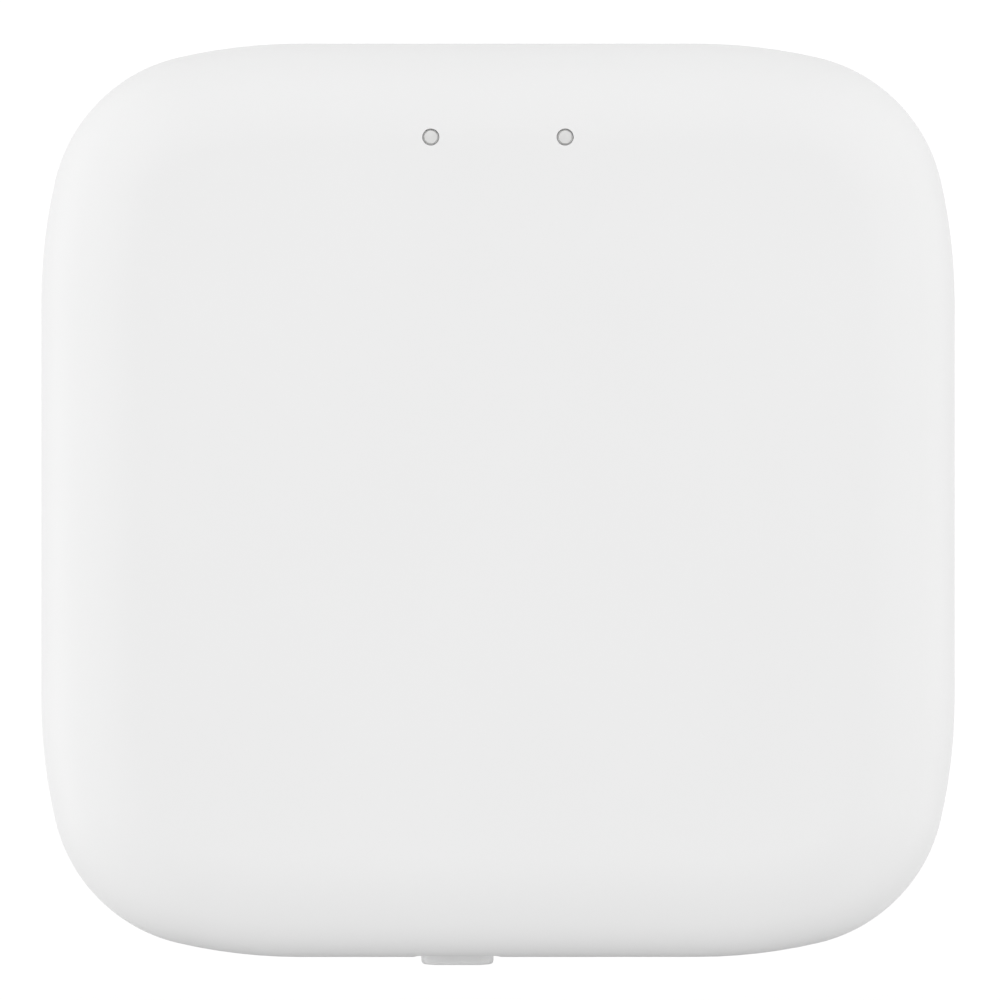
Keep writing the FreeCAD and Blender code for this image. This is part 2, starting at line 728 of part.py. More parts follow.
def make_switch():
    middle = ("button_x", "button_z")
    height = "switch_tall - switch_plate"

    body = new_body("switch_body")
    block = new_sketch(body, "block", level="board_top")
    draw(block, box_path("button_x", "-(switch_front - switch_plate - (switch_deep - switch_plate) / 2)",
                         "switch_wide", "switch_deep - switch_plate"))
    pad(body, block, height)
    bore = new_sketch(body, "bore", "XZ", at=middle, level="switch_front - switch_plate")
    draw_circle(bore, "0", "0", "switch_bore")
    pocket(body, bore, "switch_bore_deep")

    # bent metal plate over the front and the top
    body = new_body("switch_frame")
    front = new_sketch(body, "front", level="board_top")
    draw(front, box_path("button_x", "-(switch_front - switch_plate / 2)", "switch_wide", "switch_plate"))
    pad(body, front, "switch_tall")
    top = new_sketch(body, "top", level=f"board_top + {height}")
    draw(top, box_path("button_x", "-(switch_front - switch_deep / 2)", "switch_wide", "switch_deep"))
    pad(body, top, "switch_plate")
    hole = new_sketch(body, "hole", "XZ", at=middle, level="switch_front")
    draw_circle(hole, "0", "0", "plunger_wide + 2 * plunger_hole_gap")
    pocket(body, hole, "2 * switch_plate")

    body = new_body("switch_plunger")
    pin = new_sketch(body, "pin", "XZ", at=middle, level="plunger_front")
    draw_circle(pin, "0", "0", "plunger_wide")
    pad(body, pin, "plunger_proud + switch_plate + plunger_gap", reverse=True)
    flange = new_sketch(body, "flange", "XZ", at=middle, level="switch_front - switch_plate - plunger_gap")
    draw_circle(flange, "0", "0", "plunger_flange_wide")
    pad(body, flange, "plunger_flange_thick", reverse=True)

    # a snap dome, its rim on the bottom of the bore
    body = new_body("switch_dome")
    bore_end = "switch_front - switch_plate - switch_bore_deep"
    profile = new_sketch(body, "profile", at=("button_x", f"-({bore_end})"), level="button_z")
    thin = "dome_thick"
    draw(profile, [
        ("0", "-dome_crown", "dome_radius", "left"),
        ("dome_wide / 2", "0"),
        (f"dome_wide / 2 - {thin}", "0", f"dome_radius - {thin}", "right"),
        ("0", f"-dome_crown + {thin}"),
    ])
    turn = body.newObject("PartDesign::Revolution", "switch_dome_turn")
    turn.Profile = profile
    turn.ReferenceAxis = (profile, ["V_Axis"])
    turn.Angle = 360
    doc.recompute()


# ---------------------------------------------------------------- windows


def make_light_guide():
    """Two clear legs joined by a bridge, from the lamps up to the face."""
    body = new_body("light_guide")
    bridge = new_sketch(body, "bridge", at=("0", "window_y"), level="bridge_top")
    draw(bridge, round_path("0", "0", "2 * window_x + guide_leg_wide", "guide_bridge_deep", "guide_round"))
    pad(body, bridge, "guide_bridge_tall", reverse=True)
    legs = new_sketch(body, "legs", level="bridge_top")
    tips = new_sketch(body, "tips", level="bridge_top")
    for x in ("window_x", "-window_x"):
        draw_circle(legs, x, "window_y", "guide_leg_wide")
        draw_circle(tips, x, "window_y", "guide_tip_wide")
    pad(body, legs, "bridge_top - board_top - lamp_tall - guide_lamp_gap", reverse=True)
    pad(body, tips, "case_height - guide_sunk - bridge_top")


def make_lamps():
    for hand, x in (("left", "-window_x"), ("right", "window_x")):
        body = new_body(f"status_led_{hand}")
        base = new_sketch(body, "base", level="board_top")
        draw(base, box_path(x, "window_y", "lamp_wide", "lamp_deep"))
        pad(body, base, "lamp_tall / 2")
        lens = new_sketch(body, "lens", level="board_top + lamp_tall / 2")
        draw(lens, box_path(x, "window_y", "lamp_lens_wide", "lamp_deep"))
        pad(body, lens, "lamp_tall / 2")


# ---------------------------------------------------------------- board and what stands on it


def make_board():
    body = new_body("main_board")
    outline = new_sketch(body, "outline", level="board_bottom")
    out_x, out_y = "board_x", "board_y"
    in_x, in_y = "(board_x - board_notch)", "(board_y - board_notch)"
    draw(outline, [
        (f"-{in_x}", f"-{out_y}"), (in_x, f"-{out_y}"), (in_x, f"-{in_y}"), (out_x, f"-{in_y}"),
        (out_x, in_y), (in_x, in_y), (in_x, out_y), (f"-{in_x}", out_y),
        (f"-{in_x}", in_y), (f"-{out_x}", in_y), (f"-{out_x}", f"-{in_y}"), (f"-{in_x}", f"-{in_y}"),
    ])
    pad(body, outline, "board_thick")
    holes = new_sketch(body, "holes", level="board_top")
    for x, y in four_places("board_screw_x", "board_screw_y"):
        draw_circle(holes, x, y, "board_hole")
    pocket(body, holes, "2 * board_thick")


def chip_block(name, radius="chip_round"):
    body = new_body(name)
    block = new_sketch(body, "block", level="board_top")
    draw(block, round_path(f"{name}_x", f"{name}_y", f"{name}_wide", f"{name}_deep", radius))
    pad(body, block, f"{name}_tall")
    return body


def chip_corner_mark(body, name):
    """The shallow round dimple that marks pin one."""
    mark = new_sketch(body, "mark", level=f"board_top + {name}_tall")
    draw_circle(mark, f"{name}_x - {name}_wide / 2 + chip_mark_inset",
                f"{name}_y + {name}_deep / 2 - chip_mark_inset", "chip_mark")
    pocket(body, mark, "chip_mark_depth")


def chip_pins(body, name, count, pitch):
    """Flat pins along both long sides, at the board."""
    pins = new_sketch(body, "pins", level="board_top")
    for step in range(count):
        along = f"{name}_x + {step - (count - 1) / 2} * {pitch}"
        draw(pins, box_path(along, f"{name}_y", "pin_wide", f"{name}_deep + 2 * pin_out"))
    pad(body, pins, "pin_thick")


def make_chips():
    for name in ("processor", "memory_chip"):
        chip_corner_mark(chip_block(name), name)
    flash = chip_block("flash_chip")
    chip_corner_mark(flash, "flash_chip")
    chip_pins(flash, "flash_chip", 4, "pin_pitch")
    transformer = chip_block("ethernet_transformer")
    chip_pins(transformer, "ethernet_transformer", 12, "pin_pitch")
    regulator = chip_block("voltage_regulator")
    chip_pins(regulator, "voltage_regulator", 3, "wide_pin_pitch")
    chip_block("clock_crystal", "crystal_round")
    chip_block("power_inductor", "coil_round")


def make_bulk_capacitors():
    """Two can capacitors, each a cylinder on a square foot with two cut corners."""
    body = new_body("bulk_capacitors", several=True)
    feet = new_sketch(body, "feet", level="board_top")
    cans = new_sketch(body, "cans", level="board_top + bulk_base_tall")
    reach = "bulk_base / 2"
    for step in (0, 1):
        x = f"bulk_capacitors_x + {step} * bulk_pitch"
        y = "bulk_capacitors_y"
        draw(feet, [
            (f"{x} - {reach}", f"{y} - {reach}"), (f"{x} + {reach}", f"{y} - {reach}"),
            (f"{x} + {reach}", f"{y} + {reach} - bulk_corner"),
            (f"{x} + {reach} - bulk_corner", f"{y} + {reach}"),
            (f"{x} - {reach} + bulk_corner", f"{y} + {reach}"),
            (f"{x} - {reach}", f"{y} + {reach} - bulk_corner"),
        ])
        draw_circle(cans, x, y, "bulk_capacitors_wide")
    pad(body, feet, "bulk_base_tall")
    pad(body, cans, "bulk_capacitors_tall - bulk_base_tall")


def make_radio():
    chip_block("radio_board", "radio_board_round")
    can_y = "radio_board_y - radio_can_shift"

    body = new_body("radio_shield")
    can = new_sketch(body, "can", level="radio_top")
    draw(can, round_path("radio_board_x", can_y, "radio_can_wide", "radio_can_deep", "radio_can_round"))
    pad(body, can, "radio_can_tall")
    inside = new_sketch(body, "inside", level="radio_top")
    draw(inside, round_path("radio_board_x", can_y, "radio_can_wide - 2 * radio_can_sheet",
                            "radio_can_deep - 2 * radio_can_sheet",
                            "radio_can_round - radio_can_sheet"))
    pocket(body, inside, "radio_can_tall - radio_can_sheet", reverse=True)

    # a flat metal antenna that zigzags along the board's end
    body = new_body("radio_antenna")
    trace = new_sketch(body, "trace", at=("radio_board_x", "radio_board_y + radio_board_deep / 2"),
                       level="radio_top")
    left = "-(radio_board_wide / 2 - antenna_inset)"
    right = "(radio_board_wide / 2 - antenna_inset)"
    rows = ["(-antenna_inset)", "(-antenna_inset - antenna_line)",
            "(-antenna_inset - 2 * antenna_line)", "(-antenna_inset - 3 * antenna_line)"]
    draw(trace, [
        (left, rows[0]), (left, rows[3]), (f"{left} + antenna_line", rows[3]),
        (f"{left} + antenna_line", rows[1]), (f"{right} - antenna_line", rows[1]),
        (f"{right} - antenna_line", rows[2]), (f"{left} + 3 * antenna_line", rows[2]),
        (f"{left} + 3 * antenna_line", rows[3]), (right, rows[3]), (right, rows[0]),
    ])
    pad(body, trace, "antenna_tall")


def make_small_parts():
    """Rows of chip resistors and chip capacitors, one group each."""
    for label, y, tall in (("chip_resistors", "resistor_y", "resistor_tall"),
                           ("chip_capacitors", "capacitor_y", "capacitor_tall")):
        body = new_body(label, several=True)
        row = new_sketch(body, "row", level="board_top")
        for step in range(10):
            draw(row, box_path(f"small_x + {step} * small_pitch", y, "small_long", "small_deep"))
        pad(body, row, tall)


# ---------------------------------------------------------------- sockets


def make_jack():
    middle_y = "-(jack_front - jack_deep / 2)"

    # folded metal shield: front, sides, back and top
    body = new_body("ethernet_shield")
    block = new_sketch(body, "block", level="board_top")
    draw(block, box_path("jack_x", middle_y, "jack_wide", "jack_deep"))
    pad(body, block, "jack_tall")
    inside = new_sketch(body, "inside", level="board_top")
    draw(inside, box_path("jack_x", middle_y, "jack_wide - 2 * jack_sheet", "jack_deep - 2 * jack_sheet"))
    pocket(body, inside, "jack_tall - jack_sheet", reverse=True)
    window = new_sketch(body, "window", "XZ", level="jack_front")
    draw(window, box_path("jack_x", "(plug_bottom + plug_total / 2)", "plug_wide + 2 * jack_fit",
                          "plug_total + 2 * jack_fit"))
    pocket(body, window, "2 * jack_sheet")

    # plastic housing with the stepped hole that takes the plug and its latch
    body = new_body("ethernet_housing")
    skin = "2 * (jack_sheet + jack_fit)"
    block = new_sketch(body, "block", level="board_top")
    draw(block, box_path("jack_x", middle_y, f"jack_wide - {skin}", f"jack_deep - {skin}"))
    pad(body, block, "jack_tall - jack_sheet - jack_fit")
    hole = new_sketch(body, "plug_hole", "XZ", at=("jack_x", "plug_bottom"), level="cavity_front")
    steps = (("catch_wide", "catch_tall"), ("latch_wide", "latch_tall"), ("plug_wide", "plug_tall"))
    right_side = []
    left_side = []
    low = "0"
    for wide, tall in steps:
        high = f"{low} + {tall}"
        right_side += [(f"{wide} / 2", low), (f"{wide} / 2", high)]
        left_side += [(f"-{wide} / 2", low), (f"-{wide} / 2", high)]
        low = high
    draw(hole, right_side + left_side[::-1])
    pocket(body, hole, "plug_deep")

    # eight spring contacts that hang from the back of the hole's roof
    body = new_body("ethernet_contacts", several=True)
    roof = "plug_top - contact_gap"
    front_y = "-(cavity_front - contact_front)"
    tip_y = "-(cavity_back + contact_back)"
    for step in range(8):
        level = f"jack_x + {step - 3.5} * contact_pitch - contact_wide / 2"
        wire = new_sketch(body, f"wire_{step}", "YZ", level=level)
        draw(wire, [
            ("-cavity_back", roof),
            (front_y, roof),
            (front_y, f"{roof} - contact_thick"),
            (tip_y, f"{roof} - contact_drop"),
            (tip_y, f"{roof} - contact_drop + contact_thick"),
            (f"{front_y} + 4 * contact_thick", f"{roof} - contact_thick"),
            ("-cavity_back", f"{roof} - contact_thick"),
        ])
        pad(body, wire, "contact_wide")


def usb_path(inset):
    """The power socket's six-sided section, moved inwards, its two lower corners cut off."""
    half = f"(usb_wide / 2 - {inset})"
    low = f"(board_top + {inset})"
    high = f"(board_top + usb_tall - {inset})"
    return [
        (f"-{half} + usb_slope", low), (f"{half} - usb_slope", low), (half, f"{low} + usb_slope"),
        (half, high), (f"-{half}", high), (f"-{half}", f"{low} + usb_slope"),
    ]


def make_usb():
    at = ("usb_x", "0")
    body = new_body("usb_shell")
    tube = new_sketch(body, "tube", "XZ", at=at, level="usb_front")
    draw(tube, usb_path("0"))
    pad(body, tube, "usb_deep", reverse=True)
    inside = new_sketch(body, "inside", "XZ", at=at, level="usb_front")
    draw(inside, usb_path("usb_sheet"))
    pocket(body, inside, "usb_deep - usb_sheet")

    body = new_body("usb_tongue")
    base = new_sketch(body, "base", "XZ", at=at, level="usb_back_y + usb_sheet + usb_back")
    draw(base, usb_path("(usb_sheet + usb_fit)"))
    pad(body, base, "usb_back - usb_fit", reverse=True)
    blade = new_sketch(body, "blade", "XZ", at=at, level="usb_back_y + usb_sheet + usb_back")
    draw(blade, box_path("0", "usb_tongue_z", "usb_tongue_wide", "usb_tongue_thick"))
    pad(body, blade, "usb_tongue_long")

    body = new_body("usb_contacts", several=True)
    strips = new_sketch(body, "strips", "XZ", at=at, level="usb_back_y + usb_sheet + usb_back")
    under = "usb_tongue_z - usb_tongue_thick / 2 - usb_contact_thick / 2"
    for step in range(-2, 3):
        draw(strips, box_path(f"{step} * usb_contact_pitch", under, "usb_contact_wide", "usb_contact_thick"))
    pad(body, strips, "usb_contact_long")


# ---------------------------------------------------------------- assembly

make_front_cover()
make_back_cover()
make_feet()
make_label()
make_screws("case_screws", four_places("boss_x", "boss_y"), "case_seat_z - case_head_tall", "case_head_tall",
            "case_head_wide", "case_screw_wide", "case_screw_long", points_up=True)
make_screws("board_screws", four_places("board_screw_x", "board_screw_y"), "board_top", "board_head_tall",
            "board_head_wide", "board_screw_wide", "board_screw_long", points_up=False)
make_button()
make_switch()
make_light_guide()
make_lamps()
make_board()
make_chips()
make_bulk_capacitors()
make_radio()
make_small_parts()
make_jack()
make_usb()
doc.recompute()

for item in doc.Objects:
    if "Invalid" in item.State or "Error" in item.State:
        raise RuntimeError(f"{item.Name} failed: {item.getStatusString()}")
for body in pieces:
    if body.Shape.isNull() or not body.Shape.isValid():
        raise RuntimeError(f"{body.Label} has no valid shape")

os.makedirs("parts", exist_ok=True)
for body in pieces:
    body.Shape.exportStep(f"parts/{body.Label}.step")
    print(body.Label, len(body.Shape.Solids), round(body.Shape.Volume, 2))
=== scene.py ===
import json
import math

import bmesh
import bpy
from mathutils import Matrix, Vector


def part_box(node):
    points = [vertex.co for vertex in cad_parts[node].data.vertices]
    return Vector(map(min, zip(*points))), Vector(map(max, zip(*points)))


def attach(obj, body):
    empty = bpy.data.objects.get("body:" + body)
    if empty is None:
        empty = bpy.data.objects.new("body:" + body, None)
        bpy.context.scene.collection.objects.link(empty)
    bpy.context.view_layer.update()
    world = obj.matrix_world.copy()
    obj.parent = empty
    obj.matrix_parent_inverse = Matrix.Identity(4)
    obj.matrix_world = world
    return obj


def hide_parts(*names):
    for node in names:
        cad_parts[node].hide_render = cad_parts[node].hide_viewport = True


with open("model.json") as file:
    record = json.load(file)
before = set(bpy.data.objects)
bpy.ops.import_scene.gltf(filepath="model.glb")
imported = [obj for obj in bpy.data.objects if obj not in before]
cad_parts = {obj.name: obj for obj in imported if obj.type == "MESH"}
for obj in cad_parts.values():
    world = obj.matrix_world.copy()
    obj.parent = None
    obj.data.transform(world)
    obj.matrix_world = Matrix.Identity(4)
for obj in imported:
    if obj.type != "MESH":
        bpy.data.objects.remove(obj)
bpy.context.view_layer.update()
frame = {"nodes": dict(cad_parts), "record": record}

mm = 0.001
past = 1.0  # how far a cutter reaches past what it cuts, in millimetres
noiseLow = 0.3  # most of a noise texture lies between these two
noiseHigh = 0.7


def boxOf(node):  # the node's lowest and highest corners, in millimetres
    low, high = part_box(node)
    return Vector(low) / mm, Vector(high) / mm


def middleOf(node):
    low, high = boxOf(node)
    return (low + high) / 2


frontLow, frontHigh = boxOf("front_cover")
backLow, backHigh = boxOf("back_cover")

caseShape = {  # millimetres and degrees
    "halfWide": frontHigh.x,
    "halfDeep": frontHigh.y,
    "top": frontHigh.z,
    "bottom": backLow.z,
    "parting": backHigh.z,
    "tongueEnd": frontLow.z,
    "wall": 2.0,
    "softRadius": 54.5,
    "tightRadius": 16.5,
    "cornerTurn": 13.07,
    "wallEdge": 6.0,
    "faceEdge": 15.5,
    "edgeTurn": 25.0,
    "backEdge": 4.5,
    "tongue": 0.8,
    "tongueGap": 0.1,
    "groove": 0.25,
    "softSteps": 6,
    "tightSteps": 22,
}

# modelling helpers


def deselectAll():
    if bpy.context.mode != "OBJECT":
        bpy.ops.object.mode_set(mode="OBJECT")
    bpy.ops.object.select_all(action="DESELECT")


def makeActive(piece):
    deselectAll()
    piece.select_set(True)
    bpy.context.view_layer.objects.active = piece


def applyModifier(piece, modifier):
    makeActive(piece)
    bpy.ops.object.modifier_apply(modifier=modifier.name)


def arcRings(centre, radius, first, last, steps, up=1):
    # offset and depth of points on an arc; 0 degrees is along the depth axis, 90 is straight out
    rings = []
    for step in range(steps + 1):
        turn = math.radians(first + (last - first) * step / steps)
        rings.append((centre[0] + radius * math.sin(turn), centre[1] + up * radius * math.cos(turn)))
    return rings


def caseOutline():  # points of the case's outline with their outward normals, anticlockwise
    shape = caseShape
    turn = math.radians(shape["cornerTurn"])
    soft, tight = shape["softRadius"], shape["tightRadius"]
    run = soft - (soft - tight) * (math.cos(turn) - math.sin(turn))
    right, top = shape["halfWide"], shape["halfDeep"]
    firstSoft = (right - soft, top - run)
    middle = (firstSoft[0] + (soft - tight) * math.cos(turn), firstSoft[1] + (soft - tight) * math.sin(turn))
    lastSoft = (right - run, top - soft)
    spans = (
        (firstSoft, soft, 0, turn, shape["softSteps"]),
        (middle, tight, turn, math.pi / 2 - turn, shape["tightSteps"]),
        (lastSoft, soft, math.pi / 2 - turn, math.pi / 2, shape["softSteps"]),
    )
    corner = []
    for centre, radius, first, last, steps in spans:
        for step in range(steps + (last == math.pi / 2)):
            angle = first + (last - first) * step / steps
            normal = (math.cos(angle), math.sin(angle))
            corner.append(((centre[0] + radius * normal[0], centre[1] + radius * normal[1]), normal))
    outline = []
    for signX, signY in ((1, 1), (-1, 1), (-1, -1), (1, -1)):
        part = [((p[0] * signX, p[1] * signY), (n[0] * signX, n[1] * signY)) for p, n in corner]
        outline += part if signX == signY else part[::-1]
    return outline


def roundOutline(wide, tall, radius, steps=8):  # a rectangle with round corners about the origin
    outline = []
    for quarter, (signX, signY) in enumerate(((1, 1), (-1, 1), (-1, -1), (1, -1))):
        centre = (signX * (wide / 2 - radius), signY * (tall / 2 - radius))
        for step in range(steps + 1):
            angle = math.pi / 2 * (quarter + step / steps)
            normal = (math.cos(angle), math.sin(angle))
            outline.append(((centre[0] + radius * normal[0], centre[1] + radius * normal[1]), normal))
    return outline


def circleOutline(wide, steps=40):
    outline = []
    for step in range(steps):
        angle = 2 * math.pi * step / steps
        normal = (math.cos(angle), math.sin(angle))
        outline.append(((wide / 2 * normal[0], wide / 2 * normal[1]), normal))
    return outline


def upright(x=0.0, y=0.0):  # outline seen from above, depth is height
    return lambda u, v, depth: (x + u, y + v, depth)


def fromWall(x, z):  # outline seen from the sockets' side, depth is the distance from the middle
    return lambda u, v, depth: (x + u, -depth, z + v)


def ringSolid(name, outline, rings, place):
    # a closed solid: the outline is extruded from ring to ring, each offset outwards and at its depth
    deselectAll()
    bpy.ops.mesh.primitive_circle_add(vertices=len(outline), fill_type="NGON")
    piece = bpy.context.object
    piece.name = name
    bpy.ops.object.mode_set(mode="EDIT")
    mesh = bmesh.from_edit_mesh(piece.data)
    order = mesh.verts.layers.int.new("order")
    for number, vertex in enumerate(mesh.verts):
        vertex[order] = number
    for number, (offset, depth) in enumerate(rings):
        if number:
            bpy.ops.mesh.extrude_region_move()
            mesh = bmesh.from_edit_mesh(piece.data)
            order = mesh.verts.layers.int["order"]
        for vertex in mesh.verts:
            if vertex.select:
                (u, v), (normalU, normalV) = outline[vertex[order]]
                spot = place(u + normalU * offset, v + normalV * offset, depth)
                vertex.co = Vector(spot) * mm
        bmesh.update_edit_mesh(piece.data)
    bpy.ops.mesh.select_all(action="SELECT")
    bpy.ops.mesh.normals_make_consistent(inside=False)
    bpy.ops.object.mode_set(mode="OBJECT")
    piece.data.attributes.remove(piece.data.attributes["order"])
    return piece


def combine(piece, other, operation):  # uses up the other piece
    modifier = piece.modifiers.new("combine", "BOOLEAN")
    modifier.operation = operation
    modifier.solver = "EXACT"
    modifier.object = other
    applyModifier(piece, modifier)
    bpy.data.objects.remove(other)


def copyTo(piece, name, x, y):
    # a copy with its own mesh, moved within its mesh, so that its object stays at the origin
    makeActive(piece)
    bpy.ops.object.duplicate()
    copy = bpy.context.object
    copy.name = name
    bpy.ops.object.mode_set(mode="EDIT")
    bpy.ops.mesh.select_all(action="SELECT")
    bpy.ops.transform.translate(value=(x * mm, y * mm, 0))
    bpy.ops.object.mode_set(mode="OBJECT")
    return copy


def repeat(piece, places):
    # the piece copied to each place and joined, so that one operation cuts or adds them all
    name = piece.name
    copies = [copyTo(piece, name, x, y) for x, y in places]
    bpy.data.objects.remove(piece)
    deselectAll()
    for copy in copies:
        copy.select_set(True)
    bpy.context.view_layer.objects.active = copies[0]
    bpy.ops.object.join()
    copies[0].name = name
    return copies[0]


def flare(radius, outer, inner, steps=4):
    # rings of a cutter that rounds the mouth it cuts; it starts outside, at a shallow angle
    first = 20
    rings = arcRings((radius, outer - radius), -radius, first, 90, steps, up=-1)
    lead = math.radians(first)
    start = (rings[0][0] + past * math.cos(lead), rings[0][1] + past * math.sin(lead))
    return [start] + rings + [(0, inner)]


def finish(piece, angle=30):  # merges doubles and smooths all but the sharp edges
    makeActive(piece)
    bpy.ops.object.mode_set(mode="EDIT")
    bpy.ops.mesh.select_all(action="SELECT")
    bpy.ops.mesh.remove_doubles(threshold=0.002 * mm)
    bpy.ops.object.mode_set(mode="OBJECT")
    bpy.ops.object.shade_smooth_by_angle(angle=math.radians(angle))
    weighted = piece.modifiers.new("weighted", "WEIGHTED_NORMAL")
    weighted.keep_sharp = True
    weighted.weight = 80
    applyModifier(piece, weighted)


def hand(piece, body, slot, material, *nodes):
    # gives a finished piece its material, its body and the CAD nodes it stands for
    piece.data.materials.clear()
    piece.data.materials.append(material)
    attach(piece, body)
    if nodes:
        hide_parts(*nodes)


# materials


def linear(hexColour):
    channels = [int(hexColour[place:place + 2], 16) / 255 for place in (0, 2, 4)]
    curved = [c / 12.92 if c <= 0.04045 else ((c + 0.055) / 1.055) ** 2.4 for c in channels]
    return (*curved, 1.0)


def addNode(tree, kind, settings=None, **inputs):  # i3 stands for the input numbered 3
    node = tree.nodes.new("ShaderNode" + kind)
    for name, value in (settings or {}).items():
        setattr(node, name, value)
    for name, value in inputs.items():
        socket = node.inputs[int(name[1:])] if name[0] == "i" and name[1:].isdigit() else node.inputs[name]
        if isinstance(value, bpy.types.NodeSocket):
            tree.links.new(value, socket)
        else:
            socket.default_value = value
    return node


def newMaterial(name, **constants):
    material = bpy.data.materials.new(name)
    material.use_nodes = True
    tree = material.node_tree
    shader = tree.nodes["Principled BSDF"]
    for socket, value in constants.items():
        shader.inputs[socket.replace("_", " ")].default_value = value
    spots = addNode(tree, "TexCoord").outputs["Object"]
    return material, tree, shader, spots


def mottle(tree, spots, size, low, high, detail=2.0):  # a value that drifts between two limits
    noise = addNode(tree, "TexNoise", Vector=spots, Scale=1 / (size * mm), Detail=detail)
    spread = addNode(tree, "MapRange", i0=noise.outputs["Fac"], i1=noiseLow, i2=noiseHigh, i3=low, i4=high)
    return spread.outputs["Result"]


def driftingColour(tree, spots, size, first, second):  # two close tones that run into each other
    drift = mottle(tree, spots, size, 0, 1)
    mix = addNode(tree, "Mix", {"data_type": "RGBA"}, i0=drift, i6=linear(first), i7=linear(second))
    return mix.outputs[2]


def plainResin(name, light, dark, grain, depth, roughness, ior=1.5, patch=5, gloss=0.5):
    # moulded plastic or rubber: one colour that drifts slightly, and a fine matt grain; sizes in millimetres
    material, tree, shader, spots = newMaterial(name, IOR=ior, Specular_IOR_Level=gloss)
    tree.links.new(driftingColour(tree, spots, patch, light, dark), shader.inputs["Base Color"])
    tree.links.new(mottle(tree, spots, patch / 2, *roughness), shader.inputs["Roughness"])
    pits = addNode(tree, "TexNoise", Vector=spots, Scale=1 / (grain * mm), Detail=2.0)
    bump = addNode(tree, "Bump", Strength=1.0, Distance=depth * mm, Height=pits.outputs["Fac"])
    tree.links.new(bump.outputs["Normal"], shader.inputs["Normal"])
    return material


def brushedMetal(name, light, dark, roughness, direction, spacing):
    # rolled or drawn metal: streaks along one direction, 30 times as long as wide, vary its gloss and colour
    material, tree, shader, spots = newMaterial(name, Metallic=1.0)
    stretch = [1 / (spacing * mm)] * 3
    stretch[direction] /= 30
    mapping = addNode(tree, "Mapping", Vector=spots, Scale=stretch)
    streaks = addNode(tree, "TexNoise", Vector=mapping.outputs["Vector"], Scale=1.0, Detail=3.0)
    streak = streaks.outputs["Fac"]
    colour = addNode(tree, "Mix", {"data_type": "RGBA"}, i0=streak, i6=linear(light), i7=linear(dark))
    tree.links.new(colour.outputs[2], shader.inputs["Base Color"])
    spread = addNode(tree, "MapRange", i0=streak, i1=noiseLow, i2=noiseHigh, i3=roughness[0], i4=roughness[1])
    tree.links.new(spread.outputs["Result"], shader.inputs["Roughness"])
    bump = addNode(tree, "Bump", Strength=0.5, Distance=0.0015 * mm, Height=streak)
    tree.links.new(bump.outputs["Normal"], shader.inputs["Normal"])
    return material


def frostedGuide():
    # acrylic light guide with a frosted end: pale grey, lets some light through
    material, tree, shader, spots = newMaterial("frosted acrylic", IOR=1.49, Transmission_Weight=0.08)
    tree.links.new(driftingColour(tree, spots, 0.6, "E7E7E6", "E3E3E2"), shader.inputs["Base Color"])
    tree.links.new(mottle(tree, spots, 0.3, 0.3, 0.4), shader.inputs["Roughness"])
    return material


def tracks(tree, spots, turn, length, pitch):
    # parallel copper tracks with breaks; real ones are finer and lie closer, so these are drawn coarser
    turned = addNode(tree, "Mapping", Vector=spots, Rotation=(0, 0, math.radians(turn)))
    rows = addNode(tree, "TexBrick", {"offset": 0.37}, Vector=turned.outputs["Vector"], Scale=1.0)
    rows.inputs["Brick Width"].default_value = length * mm
    rows.inputs["Row Height"].default_value = pitch * mm
    rows.inputs["Mortar Size"].default_value = 0.09 * mm
    return rows.outputs["Fac"]


def solderMask():
    # glass-fibre board under green solder mask: tracks run in bunches and show as lighter raised lines
    material, tree, shader, spots = newMaterial("green solder mask", IOR=1.5, Coat_Weight=0.4,
                                                Coat_Roughness=0.1)
    along = tracks(tree, spots, 0, 31, 0.55)
    across = tracks(tree, spots, 90, 23, 0.7)
    where = mottle(tree, spots, 11, 0, 1, 0)
    which = addNode(tree, "Math", {"operation": "GREATER_THAN"}, i0=where, i1=0.62)
    alongHere = addNode(tree, "Math", {"operation": "MULTIPLY"}, i0=along, i1=which.outputs["Value"])
    low = addNode(tree, "Math", {"operation": "LESS_THAN"}, i0=where, i1=0.34)
    acrossHere = addNode(tree, "Math", {"operation": "MULTIPLY"}, i0=across, i1=low.outputs["Value"])
    lines = addNode(tree, "Math", {"operation": "MAXIMUM"}, i0=alongHere.outputs["Value"],
                    i1=acrossHere.outputs["Value"]).outputs["Value"]
    plain = driftingColour(tree, spots, 9, "16532F", "1A5C36")
    mix = addNode(tree, "Mix", {"data_type": "RGBA"}, i0=lines, i6=plain, i7=linear("2F7F50"))
    tree.links.new(mix.outputs[2], shader.inputs["Base Color"])
    tree.links.new(mottle(tree, spots, 3, 0.3, 0.42), shader.inputs["Roughness"])
    bump = addNode(tree, "Bump", Strength=0.5, Distance=0.03 * mm, Height=lines)
    tree.links.new(bump.outputs["Normal"], shader.inputs["Normal"])
    return material


# real mould grain is 0.02 to 0.05 mm and brushing is finer still, so both are drawn coarser, to show at all

# satin ABS from a spark-eroded mould: neutral white with a very fine matt grain
caseAbs = plainResin("white satin ABS", "F1F1F1", "F0F0F0", 0.3, 0.002, (0.56, 0.59), 1.54, 30, 0.3)
# the same plastic from a smoother mould, polished a little by fingers; its colour is painted a little whiter
# than the case's, as painted light that lifts the shade it sits in below the case's wall
buttonAbs = plainResin("button ABS", "F4F4F4", "F1F1F1", 0.25, 0.003, (0.4, 0.46), 1.54, 3)
frostedAcrylic = frostedGuide()
# silicone pads pick up dust, so they are dull and uneven
footSilicone = plainResin("grey silicone rubber", "8E9093", "84868A", 0.25, 0.02, (0.6, 0.75), 1.41, 2)
